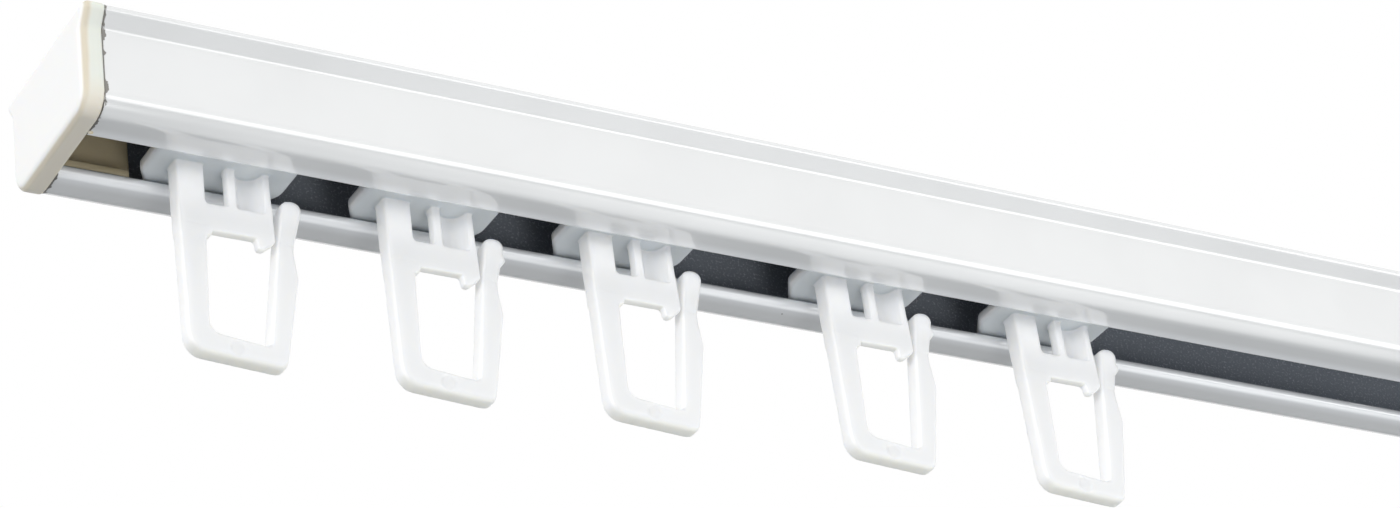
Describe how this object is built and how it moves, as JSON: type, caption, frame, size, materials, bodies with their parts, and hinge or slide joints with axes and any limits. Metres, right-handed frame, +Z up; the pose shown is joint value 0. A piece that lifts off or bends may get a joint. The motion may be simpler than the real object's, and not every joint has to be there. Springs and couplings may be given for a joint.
{
  "type": "curtain track",
  "caption": "Ceiling curtain track: white painted steel channel with a slot underneath, ivory push-in end caps, and white moulded gliders with open hook loops.",
  "frame": {"origin": "middle of the flat top face that lies against the ceiling", "axes": "+X along the track towards the cut-off end of the picture, +Y across it, away from the side the picture shows, +Z up out of the top face"},
  "size_m": [0.2454, 0.023, 0.0365],
  "materials": {
    "painted_steel": "glossy white stoved paint on roll-formed steel strip, dark grey primer inside",
    "cap_plastic": "ivory moulded plastic, slightly yellowed at the rim",
    "glider_nylon": "white moulded nylon, satin, a little translucent"
  },
  "bodies": {
    "track": {"track": "painted_steel", "end_cap_left": "cap_plastic", "end_cap_right": "cap_plastic"},
    "glider_1": {"glider_1": "glider_nylon"},
    "glider_2": {"glider_2": "glider_nylon"},
    "glider_3": {"glider_3": "glider_nylon"},
    "glider_4": {"glider_4": "glider_nylon"},
    "glider_5": {"glider_5": "glider_nylon"}
  },
  "joints": [
    {"name": "glider_1_slide", "type": "slide", "parent": "track", "child": "glider_1", "axis": [1, 0, 0], "range_m": [-0.0012, 0.0041]},
    {"name": "glider_2_slide", "type": "slide", "parent": "track", "child": "glider_2", "axis": [1, 0, 0], "range_m": [-0.0041, 0.0043]},
    {"name": "glider_3_slide", "type": "slide", "parent": "track", "child": "glider_3", "axis": [1, 0, 0], "range_m": [-0.0043, 0.00765]},
    {"name": "glider_4_slide", "type": "slide", "parent": "track", "child": "glider_4", "axis": [1, 0, 0], "range_m": [-0.00765, 0.0054]},
    {"name": "glider_5_slide", "type": "slide", "parent": "track", "child": "glider_5", "axis": [1, 0, 0], "range_m": [-0.0054, 0.0915]}
  ]
}
